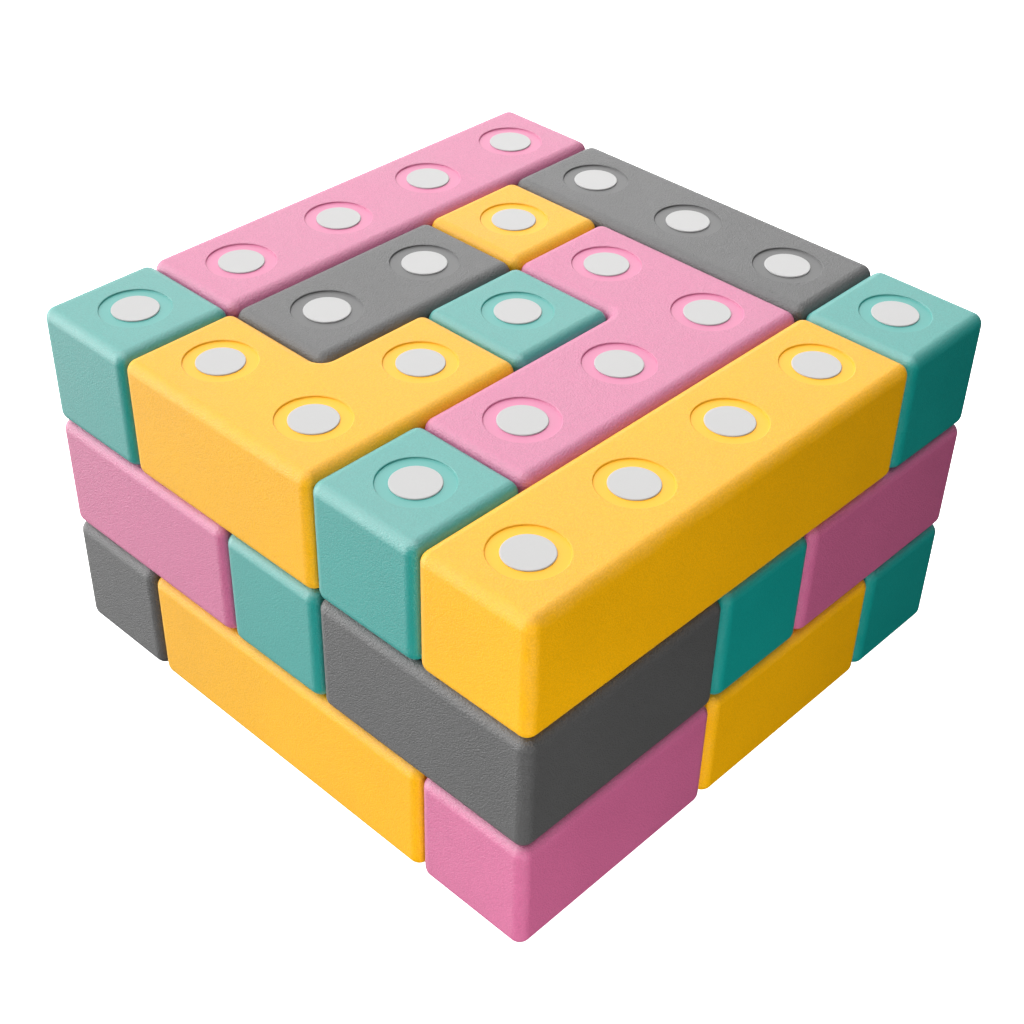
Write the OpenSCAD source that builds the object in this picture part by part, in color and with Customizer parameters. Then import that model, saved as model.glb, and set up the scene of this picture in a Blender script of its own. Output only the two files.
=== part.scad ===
// Giant building blocks: rounded foam blocks of one to four cube units,
// stacked as a cuboid of five by five by three units.
// Every unit has a round recess with a magnet disc on its top and on its underside.
// Origin: centre of the stack's footprint, on the floor. +Z is up. Millimetres.

/* [Unit] */
// Pitch of the cube grid, which is also the height of a layer
pitch = 150; // [140:1:170]
// Radius of every rounded edge and corner of a block
edge_r = 14; // [8:0.5:18]
// Clearance between neighbouring blocks of one layer
side_gap = 1; // [0.6:0.1:2]
// Clearance between a block and the layer above it
layer_gap = 0.4; // [0.3:0.1:1]

/* [Recess] */
// Radius of the round recess around a disc
recess_r = 40.5; // [36:0.5:46]
// Depth of the recess below the block's face
recess_d = 2; // [1.8:0.1:4]

/* [Disc] */
// Radius of a magnet disc
disc_r = 27; // [22:0.5:32]
// How far a disc's face stays below the block's face
disc_sink = 0.4; // [0.2:0.1:0.8]
// Rounding of a disc's rim
disc_rim_r = 0.5; // [0.3:0.1:0.8]
// Radius of the magnet puck under a disc
puck_r = 20; // [14:0.5:21]
// Length of the magnet puck
puck_l = 8; // [5:0.5:15]
// Radial clearance of the puck in its pocket
puck_fit = 0.1; // [0.05:0.05:0.3]

/* [Hidden] */
$fn = 64;
n_side = 5;
block_h = pitch - layer_gap;
inset = edge_r + side_gap/2;           // from a grid line to the axis of an edge's rounding
core_w = pitch - 2*inset;              // flat width of one unit between its roundings
inner_r = edge_r + side_gap;           // radius of an inside corner, around a neighbour's outside corner
disc_h = recess_d - disc_sink;

pink   = [0.91, 0.62, 0.76];
teal   = [0.50, 0.77, 0.75];
yellow = [0.99, 0.79, 0.40];
gray   = [0.50, 0.50, 0.50];
white  = [0.90, 0.90, 0.90];

// Straight row of n units from unit c along direction d. A unit is [column along X, row along Y].
function row(c, d, n) = [for (k = [0:n - 1]) c + k*d];
E = [1, 0];
N = [0, 1];
W = [-1, 0];
S = [0, -1];

// Units of each block, by layer
top_pink_bar_units         = row([0, 1], N, 4);
top_gray_bar_units         = row([1, 4], E, 3);
top_yellow_bar_units       = row([4, 0], N, 4);
top_gray_domino_units      = row([1, 1], N, 2);
top_pink_ell_units         = concat(row([3, 1], N, 3), [[2, 3]]);
top_yellow_corner_units    = concat(row([1, 0], E, 2), [[2, 1]]);
top_yellow_cube_units      = [[1, 3]];
top_teal_cube_left_units   = [[0, 0]];
top_teal_cube_front_units  = [[3, 0]];
top_teal_cube_middle_units = [[2, 2]];
top_teal_cube_back_units   = [[4, 4]];

mid_pink_domino_front_units = row([0, 0], E, 2);
mid_teal_cube_units         = [[2, 0]];
mid_gray_corner_units       = concat(row([3, 0], E, 2), [[4, 1]]);
mid_teal_bar_units          = row([2, 2], E, 3);
mid_pink_ell_units          = concat(row([2, 4], E, 3), [[4, 3]]);
mid_yellow_bar_units        = row([0, 1], E, 4);
mid_gray_bar_units          = row([0, 3], E, 4);
mid_pink_domino_left_units  = row([0, 2], E, 2);
mid_yellow_domino_units     = row([0, 4], E, 2);

base_gray_domino_units      = row([0, 0], N, 2);
base_yellow_bar_front_units = row([1, 0], E, 3);
base_pink_domino_units      = row([4, 0], N, 2);
base_yellow_domino_units    = row([4, 2], N, 2);
base_teal_cube_units        = [[4, 4]];
base_pink_ell_units         = concat(row([1, 4], E, 3), [[3, 3]]);
base_gray_ell_units         = concat(row([0, 3], E, 3), [[0, 4]]);
base_yellow_bar_inner_units = row([0, 2], E, 3);
base_teal_ell_units         = concat(row([1, 1], E, 3), [[3, 2]]);

// Grid helpers
function has(units, c) = len([for (q = units) if (q == c) 1]) > 0;
function left_of(d) = [-d[1], d[0]];
function open_side(units, c, d) = has(units, c) && !has(units, c + d);
function run_starts(units, c, d) = open_side(units, c, d) && !open_side(units, c - left_of(d), d);
function run_length(units, c, d) = open_side(units, c, d) ? 1 + run_length(units, c + left_of(d), d) : 0;
function row_starts(units, c, d) = has(units, c) && !has(units, c - d);
function row_length(units, c, d) = has(units, c) ? 1 + row_length(units, c + d, d) : 0;
function turn(d) = atan2(d[1], d[0]);

// Place of a unit's centre on the grid
module at_unit(c) translate([(c[0] - (n_side - 1)/2)*pitch, (c[1] - (n_side - 1)/2)*pitch, 0]) children();

// Quarter of a disc, in the first quadrant
module quarter(r) intersection() { circle(r); square(r); }

// Section of a block's wall, from the axis of its rounding (x = 0) to its face (x = edge_r)
module wall_section() {
  translate([0, block_h - edge_r]) quarter(edge_r);
  translate([0, edge_r]) mirror([0, 1]) quarter(edge_r);
  translate([0, edge_r]) square([edge_r, block_h - 2*edge_r]);
}

// Section of the wall around an inside corner, from the corner's axis outwards
module inner_section() {
  translate([inner_r + edge_r, 0]) mirror([1, 0]) wall_section();
  translate([inner_r + edge_r, 0]) square([0.5*(inner_r + edge_r), block_h]);
}

// Rounded body over any set of joined units
module rounded_body(units) {
  for (c = units) {
    // flat core of each straight row of units
    for (d = [E, N])
      if (row_starts(units, c, d) && (row_length(units, c, d) > 1 || (d == E && len(units) == 1)))
        at_unit(c) rotate(turn(d)) translate([-core_w/2, -core_w/2, 0])
          cube([core_w + (row_length(units, c, d) - 1)*pitch, core_w, block_h]);
    for (d = [E, N, W, S]) {
      // rounded wall along each straight side
      if (run_starts(units, c, d))
        at_unit(c) rotate(turn(d)) translate([core_w/2, -core_w/2, 0])
          translate([0, core_w + (run_length(units, c, d) - 1)*pitch, 0])
            rotate([90, 0, 0]) linear_extrude(core_w + (run_length(units, c, d) - 1)*pitch) wall_section();
      // rounded outside corner
      if (open_side(units, c, d) && open_side(units, c, left_of(d)))
        at_unit(c) rotate(turn(d)) translate([core_w/2, core_w/2, 0])
          rotate_extrude(angle = 90) wall_section();
      // rounded inside corner
      if (has(units, c + d) && has(units, c + left_of(d)) && !has(units, c + d + left_of(d)))
        at_unit(c) rotate(turn(d)) translate([pitch/2 + inset, pitch/2 + inset, 0])
          rotate(180) rotate_extrude(angle = 90) inner_section();
    }
  }
}

// Recess with the pocket for a disc's puck, opening upwards at z = 0
module recess() {
  translate([0, 0, -recess_d]) cylinder(r = recess_r, h = recess_d + 1);
  translate([0, 0, -recess_d - puck_l - 0.2]) cylinder(r = puck_r + puck_fit, h = puck_l + 1);
}

// Magnet disc on its puck, standing on z = 0
module disc() rotate_extrude() {
  translate([0, -puck_l]) square([puck_r, puck_l]);
  square([disc_r, disc_h - disc_rim_r]);
  translate([0, disc_h - disc_rim_r]) square([disc_r - disc_rim_r, disc_rim_r]);
  translate([disc_r - disc_rim_r, disc_h - disc_rim_r]) quarter(disc_rim_r);
}

// One block, with recesses in both faces of every unit
module block(units, layer) translate([0, 0, layer*pitch]) difference() {
  rounded_body(units);
  for (c = units) at_unit(c) {
    translate([0, 0, block_h]) recess();
    mirror([0, 0, 1]) recess();
  }
}

// The discs of one block
module discs(units, layer) translate([0, 0, layer*pitch]) for (c = units) at_unit(c) {
  translate([0, 0, block_h - recess_d]) disc();
  translate([0, 0, recess_d]) mirror([0, 0, 1]) disc();
}

// Top layer
module top_pink_bar()         color(pink)   block(top_pink_bar_units, 2);
module top_gray_bar()         color(gray)   block(top_gray_bar_units, 2);
module top_yellow_bar()       color(yellow) block(top_yellow_bar_units, 2);
module top_gray_domino()      color(gray)   block(top_gray_domino_units, 2);
module top_pink_ell()         color(pink)   block(top_pink_ell_units, 2);
module top_yellow_corner()    color(yellow) block(top_yellow_corner_units, 2);
module top_yellow_cube()      color(yellow) block(top_yellow_cube_units, 2);
module top_teal_cube_left()   color(teal)   block(top_teal_cube_left_units, 2);
module top_teal_cube_front()  color(teal)   block(top_teal_cube_front_units, 2);
module top_teal_cube_middle() color(teal)   block(top_teal_cube_middle_units, 2);
module top_teal_cube_back()   color(teal)   block(top_teal_cube_back_units, 2);

// Middle layer
module mid_pink_domino_front() color(pink)   block(mid_pink_domino_front_units, 1);
module mid_teal_cube()         color(teal)   block(mid_teal_cube_units, 1);
module mid_gray_corner()       color(gray)   block(mid_gray_corner_units, 1);
module mid_teal_bar()          color(teal)   block(mid_teal_bar_units, 1);
module mid_pink_ell()          color(pink)   block(mid_pink_ell_units, 1);
module mid_yellow_bar()        color(yellow) block(mid_yellow_bar_units, 1);
module mid_gray_bar()          color(gray)   block(mid_gray_bar_units, 1);
module mid_pink_domino_left()  color(pink)   block(mid_pink_domino_left_units, 1);
module mid_yellow_domino()     color(yellow) block(mid_yellow_domino_units, 1);

// Bottom layer
module base_gray_domino()      color(gray)   block(base_gray_domino_units, 0);
module base_yellow_bar_front() color(yellow) block(base_yellow_bar_front_units, 0);
module base_pink_domino()      color(pink)   block(base_pink_domino_units, 0);
module base_yellow_domino()    color(yellow) block(base_yellow_domino_units, 0);
module base_teal_cube()        color(teal)   block(base_teal_cube_units, 0);
module base_pink_ell()         color(pink)   block(base_pink_ell_units, 0);
module base_gray_ell()         color(gray)   block(base_gray_ell_units, 0);
module base_yellow_bar_inner() color(yellow) block(base_yellow_bar_inner_units, 0);
module base_teal_ell()         color(teal)   block(base_teal_ell_units, 0);

// Discs of the blocks
module top_pink_bar_discs()           color(white) discs(top_pink_bar_units, 2);
module top_gray_bar_discs()           color(white) discs(top_gray_bar_units, 2);
module top_yellow_bar_discs()         color(white) discs(top_yellow_bar_units, 2);
module top_gray_domino_discs()        color(white) discs(top_gray_domino_units, 2);
module top_pink_ell_discs()           color(white) discs(top_pink_ell_units, 2);
module top_yellow_corner_discs()      color(white) discs(top_yellow_corner_units, 2);
module top_yellow_cube_discs()        color(white) discs(top_yellow_cube_units, 2);
module top_teal_cube_left_discs()     color(white) discs(top_teal_cube_left_units, 2);
module top_teal_cube_front_discs()    color(white) discs(top_teal_cube_front_units, 2);
module top_teal_cube_middle_discs()   color(white) discs(top_teal_cube_middle_units, 2);
module top_teal_cube_back_discs()     color(white) discs(top_teal_cube_back_units, 2);
module mid_pink_domino_front_discs()  color(white) discs(mid_pink_domino_front_units, 1);
module mid_teal_cube_discs()          color(white) discs(mid_teal_cube_units, 1);
module mid_gray_corner_discs()        color(white) discs(mid_gray_corner_units, 1);
module mid_teal_bar_discs()           color(white) discs(mid_teal_bar_units, 1);
module mid_pink_ell_discs()           color(white) discs(mid_pink_ell_units, 1);
module mid_yellow_bar_discs()         color(white) discs(mid_yellow_bar_units, 1);
module mid_gray_bar_discs()           color(white) discs(mid_gray_bar_units, 1);
module mid_pink_domino_left_discs()   color(white) discs(mid_pink_domino_left_units, 1);
module mid_yellow_domino_discs()      color(white) discs(mid_yellow_domino_units, 1);
module base_gray_domino_discs()       color(white) discs(base_gray_domino_units, 0);
module base_yellow_bar_front_discs()  color(white) discs(base_yellow_bar_front_units, 0);
module base_pink_domino_discs()       color(white) discs(base_pink_domino_units, 0);
module base_yellow_domino_discs()     color(white) discs(base_yellow_domino_units, 0);
module base_teal_cube_discs()         color(white) discs(base_teal_cube_units, 0);
module base_pink_ell_discs()          color(white) discs(base_pink_ell_units, 0);
module base_gray_ell_discs()          color(white) discs(base_gray_ell_units, 0);
module base_yellow_bar_inner_discs()  color(white) discs(base_yellow_bar_inner_units, 0);
module base_teal_ell_discs()          color(white) discs(base_teal_ell_units, 0);

top_pink_bar();
top_pink_bar_discs();
top_gray_bar();
top_gray_bar_discs();
top_yellow_bar();
top_yellow_bar_discs();
top_gray_domino();
top_gray_domino_discs();
top_pink_ell();
top_pink_ell_discs();
top_yellow_corner();
top_yellow_corner_discs();
top_yellow_cube();
top_yellow_cube_discs();
top_teal_cube_left();
top_teal_cube_left_discs();
top_teal_cube_front();
top_teal_cube_front_discs();
top_teal_cube_middle();
top_teal_cube_middle_discs();
top_teal_cube_back();
top_teal_cube_back_discs();
mid_pink_domino_front();
mid_pink_domino_front_discs();
mid_teal_cube();
mid_teal_cube_discs();
mid_gray_corner();
mid_gray_corner_discs();
mid_teal_bar();
mid_teal_bar_discs();
mid_pink_ell();
mid_pink_ell_discs();
mid_yellow_bar();
mid_yellow_bar_discs();
mid_gray_bar();
mid_gray_bar_discs();
mid_pink_domino_left();
mid_pink_domino_left_discs();
mid_yellow_domino();
mid_yellow_domino_discs();
base_gray_domino();
base_gray_domino_discs();
base_yellow_bar_front();
base_yellow_bar_front_discs();
base_pink_domino();
base_pink_domino_discs();
base_yellow_domino();
base_yellow_domino_discs();
base_teal_cube();
base_teal_cube_discs();
base_pink_ell();
base_pink_ell_discs();
base_gray_ell();
base_gray_ell_discs();
base_yellow_bar_inner();
base_yellow_bar_inner_discs();
base_teal_ell();
base_teal_ell_discs();
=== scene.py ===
import math

import bpy
import numpy as np
from mathutils import Matrix, Vector
from mathutils.geometry import delaunay_2d_cdt


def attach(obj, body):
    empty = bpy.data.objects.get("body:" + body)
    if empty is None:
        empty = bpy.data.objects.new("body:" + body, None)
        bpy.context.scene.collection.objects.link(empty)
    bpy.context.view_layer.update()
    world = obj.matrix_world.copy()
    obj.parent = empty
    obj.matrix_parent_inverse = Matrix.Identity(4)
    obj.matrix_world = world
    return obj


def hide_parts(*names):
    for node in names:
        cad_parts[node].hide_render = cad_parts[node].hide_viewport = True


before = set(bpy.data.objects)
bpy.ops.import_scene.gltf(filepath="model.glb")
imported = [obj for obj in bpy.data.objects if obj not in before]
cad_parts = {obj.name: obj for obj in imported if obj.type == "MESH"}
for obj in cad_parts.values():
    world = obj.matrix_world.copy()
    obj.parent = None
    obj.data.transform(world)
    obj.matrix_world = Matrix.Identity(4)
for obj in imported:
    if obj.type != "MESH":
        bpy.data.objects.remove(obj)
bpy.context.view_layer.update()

# ---------------------------------------------------------------- sizes, in metres, as in the construction
PITCH = 0.150            # one cube unit
HEIGHT = 0.1496          # a block, floor to top
SIDE = 0.0005            # half the room between neighbours
EDGE = 0.014             # rounding of every outside edge
INNER = 0.015            # rounding of an inside corner, in plan
INSET = SIDE + EDGE      # unit boundary to the flat core
RECESS_R, RECESS_D = 0.0405, 0.002
RIM, FOOT = 0.0013, 0.0006   # softened mouth and foot of the recess wall
DISC_R, DISC_H, DISC_RIM = 0.027, 0.0016, 0.0012
PUCK_R, PUCK_L, POCKET_R, POCKET_L = 0.020, 0.008, 0.0201, 0.0082
ARC, ROUND, RINGS = 8, 8, 64  # steps in a plan corner, in an edge rounding, and round a recess

# ---------------------------------------------------------------- the blocks: layer, colour, cube units
BLOCKS = {
    "top_pink_bar": (2, "pink", [(0, 1), (0, 2), (0, 3), (0, 4)]),
    "top_gray_bar": (2, "gray", [(1, 4), (2, 4), (3, 4)]),
    "top_yellow_bar": (2, "yellow", [(4, 0), (4, 1), (4, 2), (4, 3)]),
    "top_gray_domino": (2, "gray", [(1, 1), (1, 2)]),
    "top_pink_ell": (2, "pink", [(3, 1), (3, 2), (3, 3), (2, 3)]),
    "top_yellow_corner": (2, "yellow", [(1, 0), (2, 0), (2, 1)]),
    "top_yellow_cube": (2, "yellow", [(1, 3)]),
    "top_teal_cube_left": (2, "teal", [(0, 0)]),
    "top_teal_cube_front": (2, "teal", [(3, 0)]),
    "top_teal_cube_middle": (2, "teal", [(2, 2)]),
    "top_teal_cube_back": (2, "teal", [(4, 4)]),
    "mid_pink_domino_front": (1, "pink", [(0, 0), (1, 0)]),
    "mid_teal_cube": (1, "teal", [(2, 0)]),
    "mid_gray_corner": (1, "gray", [(3, 0), (4, 0), (4, 1)]),
    "mid_teal_bar": (1, "teal", [(2, 2), (3, 2), (4, 2)]),
    "mid_pink_ell": (1, "pink", [(2, 4), (3, 4), (4, 4), (4, 3)]),
    "mid_yellow_bar": (1, "yellow", [(0, 1), (1, 1), (2, 1), (3, 1)]),
    "mid_gray_bar": (1, "gray", [(0, 3), (1, 3), (2, 3), (3, 3)]),
    "mid_pink_domino_left": (1, "pink", [(0, 2), (1, 2)]),
    "mid_yellow_domino": (1, "yellow", [(0, 4), (1, 4)]),
    "base_gray_domino": (0, "gray", [(0, 0), (0, 1)]),
    "base_yellow_bar_front": (0, "yellow", [(1, 0), (2, 0), (3, 0)]),
    "base_pink_domino": (0, "pink", [(4, 0), (4, 1)]),
    "base_yellow_domino": (0, "yellow", [(4, 2), (4, 3)]),
    "base_teal_cube": (0, "teal", [(4, 4)]),
    "base_pink_ell": (0, "pink", [(1, 4), (2, 4), (3, 4), (3, 3)]),
    "base_gray_ell": (0, "gray", [(0, 3), (1, 3), (2, 3), (0, 4)]),
    "base_yellow_bar_inner": (0, "yellow", [(0, 2), (1, 2), (2, 2)]),
    "base_teal_ell": (0, "teal", [(1, 1), (2, 1), (3, 1), (3, 2)]),
}


def centre(unit):
    return np.array([(unit[0] - 2) * PITCH, (unit[1] - 2) * PITCH])


# ---------------------------------------------------------------- meshes
class Shape:
    """Points with their true surface normals and two surface values, and faces."""

    def __init__(self):
        self.co, self.no, self.grain, self.edge, self.faces = [], [], [], [], []

    def point(self, co, no, grain=1.0, edge=0.0):
        self.co.append(tuple(float(x) for x in co))
        self.no.append(tuple(float(x) for x in no))
        self.grain.append(grain)
        self.edge.append(edge)
        return len(self.co) - 1

    def face(self, ids, turned=False):
        ids = [p for k, p in enumerate(ids) if p != ids[k - 1]]
        if len(ids) > 2:
            self.faces.append(ids[::-1] if turned else ids)

    def strip(self, a, b, closed=True, turned=False):
        """Faces between two rows of points."""
        n = len(a)
        for k in range(n if closed else n - 1):
            q = (k + 1) % n
            self.face([a[k], a[q], b[q], b[k]], turned)

    def made(self, name):
        me = bpy.data.meshes.new(name)
        me.from_pydata(self.co, [], self.faces)
        me.polygons.foreach_set("use_smooth", np.ones(len(self.faces), bool))
        for key in ("grain", "edge"):
            me.attributes.new(key, "FLOAT", "POINT").data.foreach_set("value", np.array(getattr(self, key), np.float32))
        me.normals_split_custom_set_from_vertices(self.no)
        me.update()
        ob = bpy.data.objects.new(name, me)
        bpy.context.scene.collection.objects.link(ob)
        return ob


def outline(units):
    """The line round a block's flat core, anticlockwise: point, outward direction and how far round a corner."""
    cells, follow = set(units), {}
    sides = (((0, -1), (0, 0), (1, 0)), ((1, 0), (1, 0), (1, 1)), ((0, 1), (1, 1), (0, 1)), ((-1, 0), (0, 1), (0, 0)))
    for i, j in cells:
        for (di, dj), a, b in sides:
            if (i + di, j + dj) not in cells:
                follow[(i + a[0], j + a[1])] = (i + b[0], j + b[1])
    walk = [min(follow)]
    while follow[walk[-1]] != walk[0]:
        walk.append(follow[walk[-1]])
    walk = np.array(walk)
    n = len(walk)
    steps = [walk[(k + 1) % n] - walk[k] for k in range(n)]
    turns = [steps[k - 1][0] * steps[k][1] - steps[k - 1][1] * steps[k][0] for k in range(n)]
    trims = [INSET if t > 0 else INNER - SIDE if t < 0 else 0.0 for t in turns]
    line = []
    for k in range(n):
        v = (walk[k] - 2.5) * PITCH
        d = steps[k].astype(float)
        n0 = np.array([steps[k - 1][1], -steps[k - 1][0]], float)
        n1 = np.array([d[1], -d[0]])
        if turns[k] == 0:
            line.append((v - n1 * INSET, n1, 0.0))
        else:
            for s in range(ARC + 1):
                t = math.pi / 2 * s / ARC
                out = n0 * math.cos(t) + n1 * math.sin(t)
                if turns[k] > 0:
                    line.append((v - (n0 + n1) * INSET, out, math.sin(2 * t)))
                else:
                    line.append((v + (n0 + n1) * (INNER - SIDE) - out * (INNER + EDGE), out, 0.0))
        a, b = trims[k], PITCH - trims[(k + 1) % n]
        for s in np.linspace(a, b, 5)[1:-1]:
            line.append((v + d * s - n1 * INSET, n1, 0.0))
    return line


def inside(x, y, loop):
    """Whether a point is inside a closed line."""
    odd = False
    for (ax, ay), (bx, by) in zip(loop, np.roll(loop, -1, 0)):
        if (ay > y) != (by > y) and x < (bx - ax) * (y - ay) / (by - ay) + ax:
            odd = not odd
    return odd


TURN = [2 * math.pi * k / RINGS for k in range(RINGS)]


def ring(shape, at, r, z, nr, nz, grain=1.0, edge=0.0):
    return [shape.point((at[0] + r * math.cos(t), at[1] + r * math.sin(t), z), (nr * math.cos(t), nr * math.sin(t), nz), grain, edge) for t in TURN]


def recess_profile():
    """From the flat top inwards: radius, depth, normal (outwards, up), grain, edge."""
    rows = []
    for s in range(5):
        t = math.pi / 2 * s / 4
        rows.append((RECESS_R + RIM * (1 - math.sin(t)), RIM * (1 - math.cos(t)), -math.sin(t), math.cos(t), 1 - s / 4, math.sin(2 * t)))
    for s in range(4):
        t = math.pi / 2 * s / 3
        rows.append((RECESS_R - FOOT * (1 - math.cos(t)), RECESS_D - FOOT * (1 - math.sin(t)), -math.cos(t), math.sin(t), 0.0, 0.0))
    rows.append((POCKET_R + 0.0004, RECESS_D, 0.0, 1.0, 0.0, 0.0))
    rows.append((POCKET_R, RECESS_D + 0.0004, -1.0, 0.0, 0.0, 0.0))
    rows.append((POCKET_R, RECESS_D + POCKET_L - 0.0004, -1.0, 0.0, 0.0, 0.0))
    rows.append((POCKET_R - 0.0004, RECESS_D + POCKET_L, 0.0, 1.0, 0.0, 0.0))
    return rows


def disc_profile():
    """From the disc's flat top outwards and down, then in to the puck: radius, height, normal."""
    rows = [(DISC_R * 0.55, DISC_H, 0.0, 1.0)]
    for s in range(6):
        t = math.pi / 2 * s / 5
        rows.append((DISC_R - DISC_RIM * (1 - math.sin(t)), DISC_H - DISC_RIM * (1 - math.cos(t)), math.sin(t), math.cos(t)))
    rows.append((DISC_R, 0.0002, 1.0, 0.0))
    rows.append((DISC_R - 0.0002, 0.0, 0.0, -1.0))
    rows.append((PUCK_R + 0.0002, 0.0, 0.0, -1.0))
    rows.append((PUCK_R, -0.0002, 1.0, 0.0))
    rows.append((PUCK_R, 0.0003 - PUCK_L, 1.0, 0.0))
    rows.append((PUCK_R - 0.0003, -PUCK_L, 0.0, -1.0))
    return rows


def foam_mesh(name, layer, units):
    """One block: rounded walls swept round its outline, flat faces, and a recess above and below each unit."""
    base, line, s = layer * PITCH, outline(units), Shape()
    rows = []
    for k in range(ROUND + 1):
        t = -math.pi / 2 * (1 - k / ROUND)
        rows.append((EDGE * math.cos(t), EDGE * (1 + math.sin(t)), math.cos(t), math.sin(t), -math.sin(2 * t)))
    for k in range(1, 4):
        rows.append((EDGE, EDGE + (HEIGHT - 2 * EDGE) * k / 4, 1.0, 0.0, 0.0))
    for k in range(ROUND + 1):
        t = math.pi / 2 * k / ROUND
        rows.append((EDGE * math.cos(t), HEIGHT - EDGE * (1 - math.sin(t)), math.cos(t), math.sin(t), math.sin(2 * t)))
    made = []
    for h, z, nh, nz, e in rows:
        row = []
        for k, (p, out, round_) in enumerate(line):
            if h < 1e-9 and k and np.allclose(p, line[k - 1][0], atol=1e-9):
                row.append(row[-1])
                continue
            q = p + out * h
            row.append(s.point((q[0], q[1], base + z), (out[0] * nh, out[1] * nh, nz), 1.0, max(e, round_ * nh)))
        made.append(row)
    for a, b in zip(made, made[1:]):
        s.strip(a, b)
    loop_ids = {0: [], 1: []}
    for side, row in ((0, made[0]), (1, made[-1])):
        for p in row:
            if not loop_ids[side] or p != loop_ids[side][-1]:
                loop_ids[side].append(p)
    loop = np.array([s.co[p][:2] for p in loop_ids[1]])
    profile, middles = recess_profile(), [centre(u) for u in units]
    mouth = profile[0][0]
    spare = []
    for m in middles:
        for x in np.arange(-0.0625, 0.0626, 0.025):
            for y in np.arange(-0.0625, 0.0626, 0.025):
                p = m + (x, y)
                if math.hypot(x, y) > mouth + 0.006 and inside(p[0], p[1], loop) and np.min(np.hypot(*(loop - p).T)) > 0.008:
                    spare.append(p)
    for side, top in ((1, True), (0, False)):
        z0, up = (base + HEIGHT, 1.0) if top else (base, -1.0)
        points, ids, edges = [tuple(s.co[p][:2]) for p in loop_ids[side]], list(loop_ids[side]), []
        n = len(points)
        edges += [(k, (k + 1) % n) for k in range(n)]
        for m in middles:
            last = None
            for r, depth, nr, nz, grain, edge in profile:
                row = ring(s, m, r, z0 - up * depth, nr, up * nz, grain, edge)
                if last is None:
                    first = len(points)
                    points += [s.co[p][:2] for p in row]
                    ids += row
                    edges += [(first + k, first + (k + 1) % RINGS) for k in range(RINGS)]
                else:
                    s.strip(row, last, turned=top)
                last = row
            s.face(last, turned=not top)
        for p in spare:
            points.append(tuple(p))
            ids.append(s.point((p[0], p[1], z0), (0, 0, up)))
        co, _, faces, origin, _, _ = delaunay_2d_cdt([Vector(p) for p in points], edges, [], 0, 1e-7)
        for f in faces:
            c = sum((co[k] for k in f), Vector((0, 0))) / len(f)
            if min(math.hypot(c.x - m[0], c.y - m[1]) for m in middles) < mouth * 0.998 or not inside(c.x, c.y, loop):
                continue
            a, b, d = (co[k] for k in f)
            turned = (b - a).cross(d - a) < 0
            s.face([ids[origin[k][0]] for k in f], turned=turned == top)
    return s.made(name)


def disc_mesh(name, layer, units):
    """The magnet discs of one block, each on its puck, facing up and down."""
    s, base, profile = Shape(), layer * PITCH, disc_profile()
    for u in units:
        for z0, up in ((base + HEIGHT - RECESS_D, 1.0), (base + RECESS_D, -1.0)):
            last = None
            for r, z, nr, nz in profile:
                row = ring(s, centre(u), r, z0 + up * z, nr, up * nz)
                if last is None:
                    s.face(row, turned=up < 0)
                else:
                    s.strip(row, last, turned=up < 0)
                last = row
            s.face(last, turned=up > 0)
    return s.made(name)


# ---------------------------------------------------------------- materials
class Nodes:
    """Short calls for a material's nodes."""

    def __init__(self, name):
        self.material = bpy.data.materials.new(name)
        self.material.use_nodes = True
        self.tree = self.material.node_tree
        self.tree.nodes.clear()
        self.out = self.tree.nodes.new("ShaderNodeOutputMaterial")

    def add(self, kind, values=None, **settings):
        node = self.tree.nodes.new("ShaderNode" + kind)
        for key, value in settings.items():
            setattr(node, key, value)
        for key, value in (values or {}).items():
            if hasattr(value, "is_output"):
                self.tree.links.new(value, node.inputs[key])
            else:
                node.inputs[key].default_value = value
        return node

    def maths(self, operation, *values):
        node = self.add("Math", dict(enumerate(values)), operation=operation)
        return node.outputs[0]

    def fit(self, value, low, high, to_low, to_high):
        return self.add("MapRange", {"Value": value, "From Min": low, "From Max": high, "To Min": to_low, "To Max": to_high}).outputs["Result"]

    def mix(self, share, a, b, blend="MIX"):
        node = self.add("Mix", data_type="RGBA", blend_type=blend)
        for socket, value in ((node.inputs[0], share), (node.inputs[6], a), (node.inputs[7], b)):
            if hasattr(value, "is_output"):
                self.tree.links.new(value, socket)
            else:
                socket.default_value = value
        return node.outputs[2]


def shade(colour, k):
    return tuple(min(1.0, c * k) for c in colour) + (1.0,)


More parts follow.
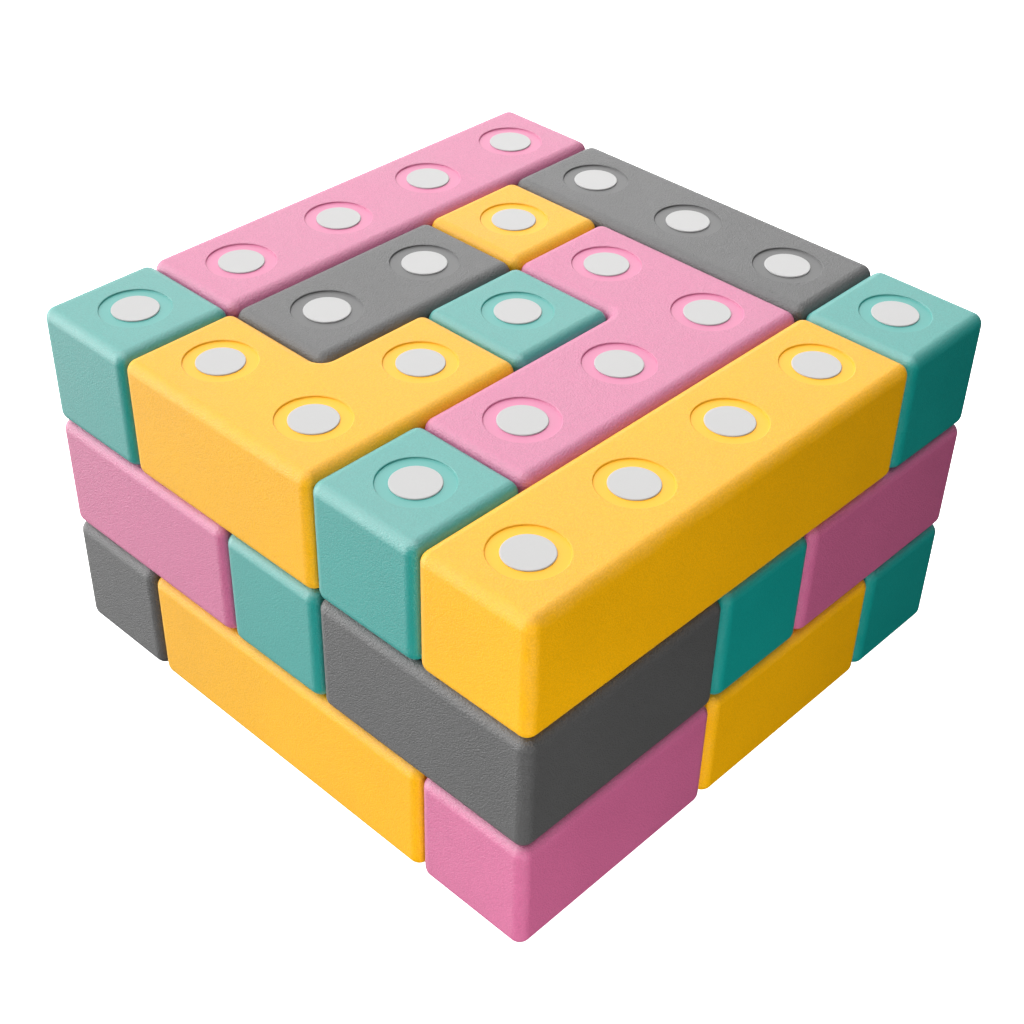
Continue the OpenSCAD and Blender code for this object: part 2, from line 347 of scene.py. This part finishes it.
def foam(name, colour, index, pebble):
    """Skinned moulded foam: pebbled skin with painted shade darkening its pits, slight mottling, paler rubbed edges,
    smooth recess floors.
    """
    n = Nodes(name)
    place = n.add("TexCoord").outputs["Object"]
    grain = n.add("Attribute", attribute_name="grain").outputs["Fac"]
    edge = n.add("Attribute", attribute_name="edge").outputs["Fac"]
    cells = n.add("TexVoronoi", {"Vector": place, "Scale": 460.0}, feature="F1").outputs["Distance"]
    fine = n.add("TexNoise", {"Vector": place, "Scale": 820.0, "Detail": 2.0, "Roughness": 0.55}).outputs["Fac"]
    broad = n.add("TexNoise", {"Vector": place, "Scale": 9.0, "Detail": 3.0, "Roughness": 0.5}).outputs["Fac"]
    patch = n.add("TexNoise", {"Vector": place, "Scale": 60.0, "Detail": 2.0, "Roughness": 0.5}).outputs["Fac"]
    skin = n.maths("MULTIPLY_ADD", cells, -0.55, n.maths("MULTIPLY", fine, 0.9))
    skin = n.maths("MULTIPLY", skin, grain)
    height = n.maths("MULTIPLY_ADD", patch, 0.10, skin)
    bump = n.add("Bump", {"Strength": pebble, "Distance": 0.0009, "Height": height})
    mottled = n.mix(n.fit(broad, 0.3, 0.7, 0.0, 1.0), shade(colour, 0.965), shade(colour, 1.03))
    # painted shade: the low spots of the pebbled skin are darkened towards 0.55 of the colour, standing in for the
    # shade that falls into them
    pit_shade = n.maths("MULTIPLY", n.fit(skin, 0.05, 0.45, 0.36, 0.0), grain)
    pit_shaded = n.mix(pit_shade, mottled, shade(colour, 0.55))
    rubbed = n.maths("MULTIPLY", edge, n.fit(patch, 0.35, 0.75, 0.0, 0.07))
    pale = tuple(0.75 * c + 0.25 * (0.25 + 0.75 * max(colour)) for c in colour) + (1.0,)
    tint = n.mix(rubbed, pit_shaded, pale)
    rough = n.maths("ADD", n.fit(broad, 0.3, 0.7, 0.45, 0.50), n.maths("MULTIPLY", grain, n.fit(fine, 0.3, 0.7, 0.06, -0.02)))
    shader = n.add("BsdfPrincipled", {"Base Color": tint, "Roughness": rough, "Normal": bump.outputs["Normal"], "Specular IOR Level": 1.0, "IOR": index})
    n.tree.links.new(shader.outputs[0], n.out.inputs[0])
    return n.material


def disc_plastic(name, colour):
    """Satin white moulded plastic with a fine spark-eroded speckle."""
    n = Nodes(name)
    place = n.add("TexCoord").outputs["Object"]
    fine = n.add("TexNoise", {"Vector": place, "Scale": 900.0, "Detail": 2.0, "Roughness": 0.6}).outputs["Fac"]
    broad = n.add("TexNoise", {"Vector": place, "Scale": 45.0, "Detail": 2.0}).outputs["Fac"]
    tint = n.mix(n.fit(fine, 0.3, 0.7, 0.0, 1.0), shade(colour, 0.975), shade(colour, 1.015))
    tint = n.mix(n.fit(broad, 0.35, 0.7, 0.0, 0.35), tint, shade(colour, 0.97))
    bump = n.add("Bump", {"Strength": 0.12, "Distance": 0.0003, "Height": fine})
    shader = n.add("BsdfPrincipled", {"Base Color": tint, "Roughness": n.fit(fine, 0.3, 0.7, 0.38, 0.5), "Normal": bump.outputs["Normal"], "Specular IOR Level": 0.5})
    n.tree.links.new(shader.outputs[0], n.out.inputs[0])
    return n.material


FOAM = {
    "pink": foam("foam_pink_skin", (0.610, 0.132, 0.287), 1.71, 0.75),
    "teal": foam("foam_teal_skin", (0.001, 0.300, 0.264), 1.77, 0.45),
    "yellow": foam("foam_yellow_skin", (0.915, 0.450, 0.001), 1.39, 0.55),
    "gray": foam("foam_gray_skin", (0.0855, 0.0852, 0.0846), 1.565, 0.95),
}
WHITE = disc_plastic("disc_white_plastic", (0.48, 0.477, 0.474))

# ---------------------------------------------------------------- pieces on their bodies
for block, (layer, colour, units) in BLOCKS.items():
    body = foam_mesh(block + "_foam", layer, units)
    body.data.materials.append(FOAM[colour])
    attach(body, block)
    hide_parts(block)
    discs = disc_mesh(block + "_magnets", layer, units)
    discs.data.materials.append(WHITE)
    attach(discs, block)
    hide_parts(block + "_discs")

# ---------------------------------------------------------------- floor, light and camera
scene = bpy.context.scene
n = Nodes("floor_white")
matte = n.add("BsdfDiffuse", {"Color": (0.8, 0.8, 0.8, 1.0)})
glow = n.add("Emission", {"Color": (1.0, 1.0, 1.0, 1.0), "Strength": 1.5})
both = n.add("AddShader", {0: matte.outputs[0], 1: glow.outputs[0]})
n.tree.links.new(both.outputs[0], n.out.inputs[0])


def backdrop(name, corners, faces):
    """A white sheet that only the camera sees."""
    me = bpy.data.meshes.new(name)
    me.from_pydata(corners, [], faces)
    me.materials.append(n.material)
    ob = bpy.data.objects.new(name, me)
    scene.collection.objects.link(ob)
    ob.visible_diffuse = ob.visible_glossy = ob.visible_shadow = False
    return ob


floor = backdrop("floor", [(-30, -30, -0.0003), (30, -30, -0.0003), (30, 30, -0.0003), (-30, 30, -0.0003)], [(0, 1, 2, 3)])
wall = [(28 * math.cos(t), 28 * math.sin(t), z) for z in (-0.01, 25.0) for t in TURN]
backdrop("wall", wall, [(k, (k + 1) % RINGS, RINGS + (k + 1) % RINGS, RINGS + k) for k in range(RINGS)])

AIM = Vector((0.0, 0.0, 0.25))


def toward(azimuth, elevation):
    """The direction from the stack to this azimuth (0 is -Y, 90 is +X) and elevation, in degrees."""
    a, e = math.radians(azimuth), math.radians(elevation)
    return Vector((math.sin(a) * math.cos(e), -math.cos(a) * math.cos(e), math.sin(e)))


# a soft dome, bright above and low down on the left, fading to nothing on the right
DOME = ((-36, 80, 3.35, 10.6), (-137, 10, 2.75, 13.0), (-58, 5, 4.95, 11.8))
world = bpy.data.worlds.new("studio")
scene.world = world
world.use_nodes = True
tree = world.node_tree
glow = None
for azimuth, elevation, strength, narrow in DOME:
    dot = tree.nodes.new("ShaderNodeVectorMath")
    dot.operation = "DOT_PRODUCT"
    if glow is None:
        sky = tree.nodes.new("ShaderNodeTexCoord").outputs["Generated"]
    tree.links.new(sky, dot.inputs[0])
    dot.inputs[1].default_value = toward(azimuth, elevation)
    last = dot.outputs["Value"]
    for operation, values in (("MULTIPLY_ADD", (0.5, 0.5)), ("POWER", (narrow,)), ("MULTIPLY", (strength,))):
        step = tree.nodes.new("ShaderNodeMath")
        step.operation = operation
        tree.links.new(last, step.inputs[0])
        for k, v in enumerate(values):
            step.inputs[k + 1].default_value = v
        last = step.outputs[0]
    if glow is not None:
        both = tree.nodes.new("ShaderNodeMath")
        both.operation = "ADD"
        tree.links.new(glow, both.inputs[0])
        tree.links.new(last, both.inputs[1])
        last = both.outputs[0]
    glow = last
tree.nodes["Background"].inputs["Color"].default_value = (1.0, 1.0, 1.0, 1.0)
tree.links.new(glow, tree.nodes["Background"].inputs["Strength"])


def softbox(name, azimuth, elevation, distance, size, radiance):
    """A square lamp facing the stack, too soft to show in the skin's sheen."""
    back = toward(azimuth, elevation)
    lamp = bpy.data.lights.new(name, "AREA")
    lamp.shape, lamp.size = "SQUARE", size
    lamp.energy = radiance * math.pi * size * size
    ob = bpy.data.objects.new(name, lamp)
    ob.location = AIM + back * distance
    ob.rotation_mode = "QUATERNION"
    ob.rotation_quaternion = back.to_track_quat("Z", "Y")
    ob.visible_camera = ob.visible_glossy = False
    scene.collection.objects.link(ob)


softbox("near_right", 54, -13, 2.0, 1.0, 8.8)

azimuth, elevation, roll = math.radians(42.9244), math.radians(38.0164), math.radians(1.4751)
back = Vector((math.sin(azimuth) * math.cos(elevation), -math.cos(azimuth) * math.cos(elevation), math.sin(elevation)))
right = (-back).cross(Vector((0, 0, 1))).normalized()
up = right.cross(-back)
across = right * math.cos(roll) + up * math.sin(roll)
upright = up * math.cos(roll) - right * math.sin(roll)
lens = bpy.data.cameras.new("camera")
lens.sensor_width, lens.sensor_fit = 36.0, "HORIZONTAL"
lens.lens = 1705.98 / 1024 * 36.0
lens.clip_start, lens.clip_end = 0.05, 200.0
camera = bpy.data.objects.new("camera", lens)
scene.collection.objects.link(camera)
spot = (back * 12.6864 + across * -0.0430 + upright * -1.5031) * PITCH + Vector((0, 0, 3 * PITCH))
camera.matrix_world = Matrix.Translation(spot) @ Matrix((across, upright, back)).transposed().to_4x4()
scene.camera = camera

scene.view_settings.view_transform = "Standard"
scene.view_settings.look = "None"
